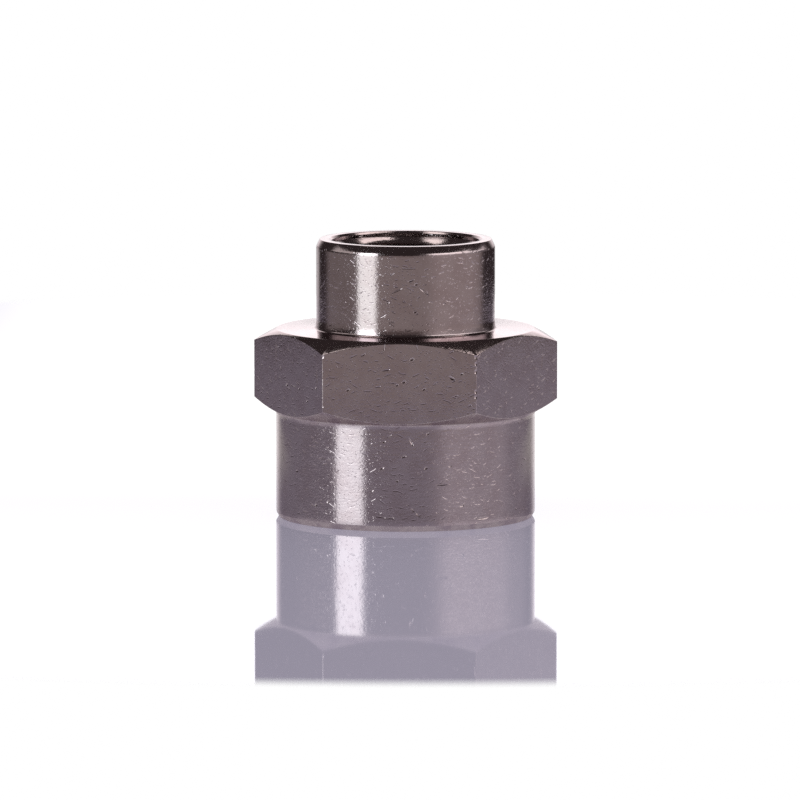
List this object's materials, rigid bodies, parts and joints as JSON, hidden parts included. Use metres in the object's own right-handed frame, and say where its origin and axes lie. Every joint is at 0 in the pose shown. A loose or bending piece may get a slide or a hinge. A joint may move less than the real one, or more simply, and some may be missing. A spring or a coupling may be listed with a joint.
{
  "type": "threaded reducing coupling",
  "caption": "Reducing pipe coupling: hexagon body with two round female-threaded ends, one large and one small, on one axis.",
  "frame": {"origin": "centre of the large end's face, which the coupling stands on", "axes": "+Z along the bore axis, from the large end to the small end; two flats of the hexagon face -Y and +Y"},
  "size_m": [0.0278, 0.024, 0.0254],
  "materials": {
    "nickel_plate": "satin nickel plate over machined brass, slightly grained, with small nicks"
  },
  "bodies": {
    "root": {"coupling_body": "nickel_plate"}
  },
  "joints": []
}
